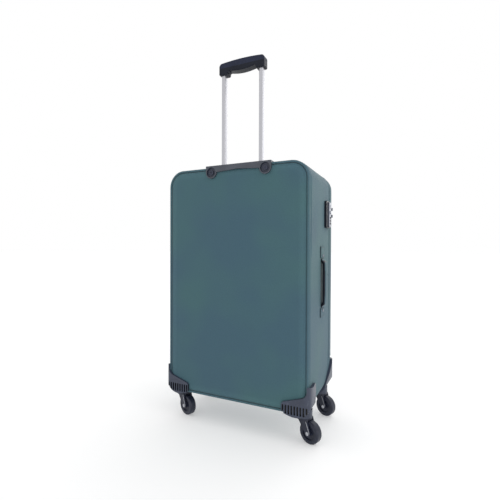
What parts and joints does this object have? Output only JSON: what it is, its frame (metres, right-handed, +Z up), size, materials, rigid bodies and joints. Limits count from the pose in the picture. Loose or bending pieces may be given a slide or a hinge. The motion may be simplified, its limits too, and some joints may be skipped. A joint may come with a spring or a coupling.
{
  "type": "spinner suitcase",
  "caption": "Large cloth-covered suitcase on swivel casters, with a zipped lid, a side lock, carrying handles and a pull-out trolley handle.",
  "frame": {"origin": "on the floor, under the middle of the object's footprint with its casters as they stand at rest", "axes": "+Z up; +Y from the back panel towards the lid; +X towards the side with the lock and the side handle"},
  "size_m": [0.4732, 0.277, 1.059],
  "materials": {
    "shell_cloth": "fine woven, slight sheen",
    "strap_cloth": "heavy woven",
    "zip_cloth": "woven tape",
    "lining": "plain lining",
    "guard_plastic": "fine textured",
    "trim_plastic": "satin",
    "grip_rubber": "soft touch",
    "board": "plain",
    "tube_aluminium": "satin anodised",
    "bright_metal": "polished",
    "dial_plastic": "gloss",
    "axle_steel": "plain",
    "wheel_rubber": "satin"
  },
  "bodies": {
    "case": {"trolley_bezel": "trim_plastic", "bezel_screws": "bright_metal", "lock_housing": "trim_plastic", "lock_cover": "bright_metal", "gusset": "shell_cloth", "back_panel": "shell_cloth", "back_welt": "shell_cloth", "lower_front": "shell_cloth", "hinge_tape": "zip_cloth", "zip_tape_body": "zip_cloth", "guard_back_left": "guard_plastic", "guard_back_right": "guard_plastic", "guard_front_left": "guard_plastic", "guard_front_right": "guard_plastic", "outer_tubes": "tube_aluminium", "trolley_foot": "trim_plastic", "base_board": "board", "tube_cover": "lining", "side_handle": "strap_cloth", "top_handle": "strap_cloth", "side_handle_tabs": "strap_cloth", "top_handle_tabs": "strap_cloth", "handle_rivets": "bright_metal", "side_bumpers": "guard_plastic", "packing_straps": "zip_cloth", "packing_buckle": "trim_plastic"},
    "lid": {"lid_gusset": "shell_cloth", "lid_panel": "shell_cloth", "lid_welt": "shell_cloth", "zip_tape_lid": "zip_cloth", "front_pocket": "shell_cloth", "pocket_zip": "zip_cloth", "lid_net": "zip_cloth"},
    "pocket_slider": {"pocket_slider": "bright_metal"},
    "trolley": {"inner_tubes": "tube_aluminium", "latch_plugs": "trim_plastic", "grip_body": "trim_plastic", "grip_cover": "grip_rubber", "button_spring": "bright_metal"},
    "grip_button": {"grip_button": "trim_plastic", "push_rods": "tube_aluminium"},
    "zip_slider_lower": {"zip_slider_lower": "bright_metal"},
    "zip_slider_upper": {"zip_slider_upper": "bright_metal"},
    "dial_low": {"dial_low": "dial_plastic"},
    "dial_middle": {"dial_middle": "dial_plastic"},
    "dial_high": {"dial_high": "dial_plastic"},
    "lock_button": {"lock_button": "bright_metal"},
    "key_cylinder": {"key_cylinder": "bright_metal"},
    "fork_back_left": {"fork_back_left": "guard_plastic", "axle_back_left": "axle_steel"},
    "wheel_back_left": {"wheel_back_left": "wheel_rubber"},
    "fork_back_right": {"fork_back_right": "guard_plastic", "axle_back_right": "axle_steel"},
    "wheel_back_right": {"wheel_back_right": "wheel_rubber"},
    "fork_front_left": {"fork_front_left": "guard_plastic", "axle_front_left": "axle_steel"},
    "wheel_front_left": {"wheel_front_left": "wheel_rubber"},
    "fork_front_right": {"fork_front_right": "guard_plastic", "axle_front_right": "axle_steel"},
    "wheel_front_right": {"wheel_front_right": "wheel_rubber"}
  },
  "joints": [
    {"name": "lid_hinge", "type": "hinge", "parent": "case", "child": "lid", "pos_m": [-0.0096, 0.1325, 0.172], "axis": [-1, 0, 0], "range_deg": [0, 104]},
    {"name": "pocket_zip_slide", "type": "slide", "parent": "lid", "child": "pocket_slider", "axis": [1, 0, 0], "range_m": [0, 0.27]},
    {"name": "trolley_slide", "type": "slide", "parent": "case", "child": "trolley", "axis": [0, 0, 1], "range_m": [-0.301, 0]},
    {"name": "grip_button_press", "type": "slide", "parent": "trolley", "child": "grip_button", "axis": [0, 0, -1], "range_m": [0, 0.004], "stiffness_N_per_m": 600, "springref_m": -0.008},
    {"name": "lower_zip_slide", "type": "slide", "parent": "case", "child": "zip_slider_lower", "axis": [0, 0, 1], "range_m": [-0.42, 0]},
    {"name": "upper_zip_slide", "type": "slide", "parent": "case", "child": "zip_slider_upper", "axis": [0, 0, 1], "range_m": [0, 0.06]},
    {"name": "lock_button_press", "type": "slide", "parent": "case", "child": "lock_button", "axis": [-1, 0, 0], "range_m": [0, 0.0016], "stiffness_N_per_m": 300, "springref_m": -0.003},
    {"name": "key_turn", "type": "hinge", "parent": "case", "child": "key_cylinder", "pos_m": [0.2134, 0.068, 0.645], "axis": [1, 0, 0], "range_deg": [0, 90]},
    {"name": "dial_low_turn", "type": "hinge", "parent": "case", "child": "dial_low", "pos_m": [0.214, 0.068, 0.594], "axis": [0, 0, 1], "continuous": true},
    {"name": "dial_middle_turn", "type": "hinge", "parent": "case", "child": "dial_middle", "pos_m": [0.214, 0.068, 0.6025], "axis": [0, 0, 1], "continuous": true},
    {"name": "dial_high_turn", "type": "hinge", "parent": "case", "child": "dial_high", "pos_m": [0.214, 0.068, 0.611], "axis": [0, 0, 1], "continuous": true},
    {"name": "swivel_back_left", "type": "hinge", "parent": "case", "child": "fork_back_left", "pos_m": [-0.2056, -0.0885, 0.067], "axis": [0, 0, 1], "continuous": true},
    {"name": "roll_back_left", "type": "hinge", "parent": "fork_back_left", "child": "wheel_back_left", "pos_m": [-0.18587, -0.09568, 0.03], "axis": [-0.342, -0.9397, 0], "continuous": true},
    {"name": "swivel_back_right", "type": "hinge", "parent": "case", "child": "fork_back_right", "pos_m": [0.1864, -0.0885, 0.067], "axis": [0, 0, 1], "continuous": true},
    {"name": "roll_back_right", "type": "hinge", "parent": "fork_back_right", "child": "wheel_back_right", "pos_m": [0.20613, -0.09568, 0.03], "axis": [-0.342, -0.9397, 0], "continuous": true},
    {"name": "swivel_front_left", "type": "hinge", "parent": "case", "child": "fork_front_left", "pos_m": [-0.2056, 0.0885, 0.067], "axis": [0, 0, 1], "continuous": true},
    {"name": "roll_front_left", "type": "hinge", "parent": "fork_front_left", "child": "wheel_front_left", "pos_m": [-0.18587, 0.08132, 0.03], "axis": [-0.342, -0.9397, 0], "continuous": true},
    {"name": "swivel_front_right", "type": "hinge", "parent": "case", "child": "fork_front_right", "pos_m": [0.1864, 0.0885, 0.067], "axis": [0, 0, 1], "continuous": true},
    {"name": "roll_front_right", "type": "hinge", "parent": "fork_front_right", "child": "wheel_front_right", "pos_m": [0.20613, 0.08132, 0.03], "axis": [-0.342, -0.9397, 0], "continuous": true}
  ]
}
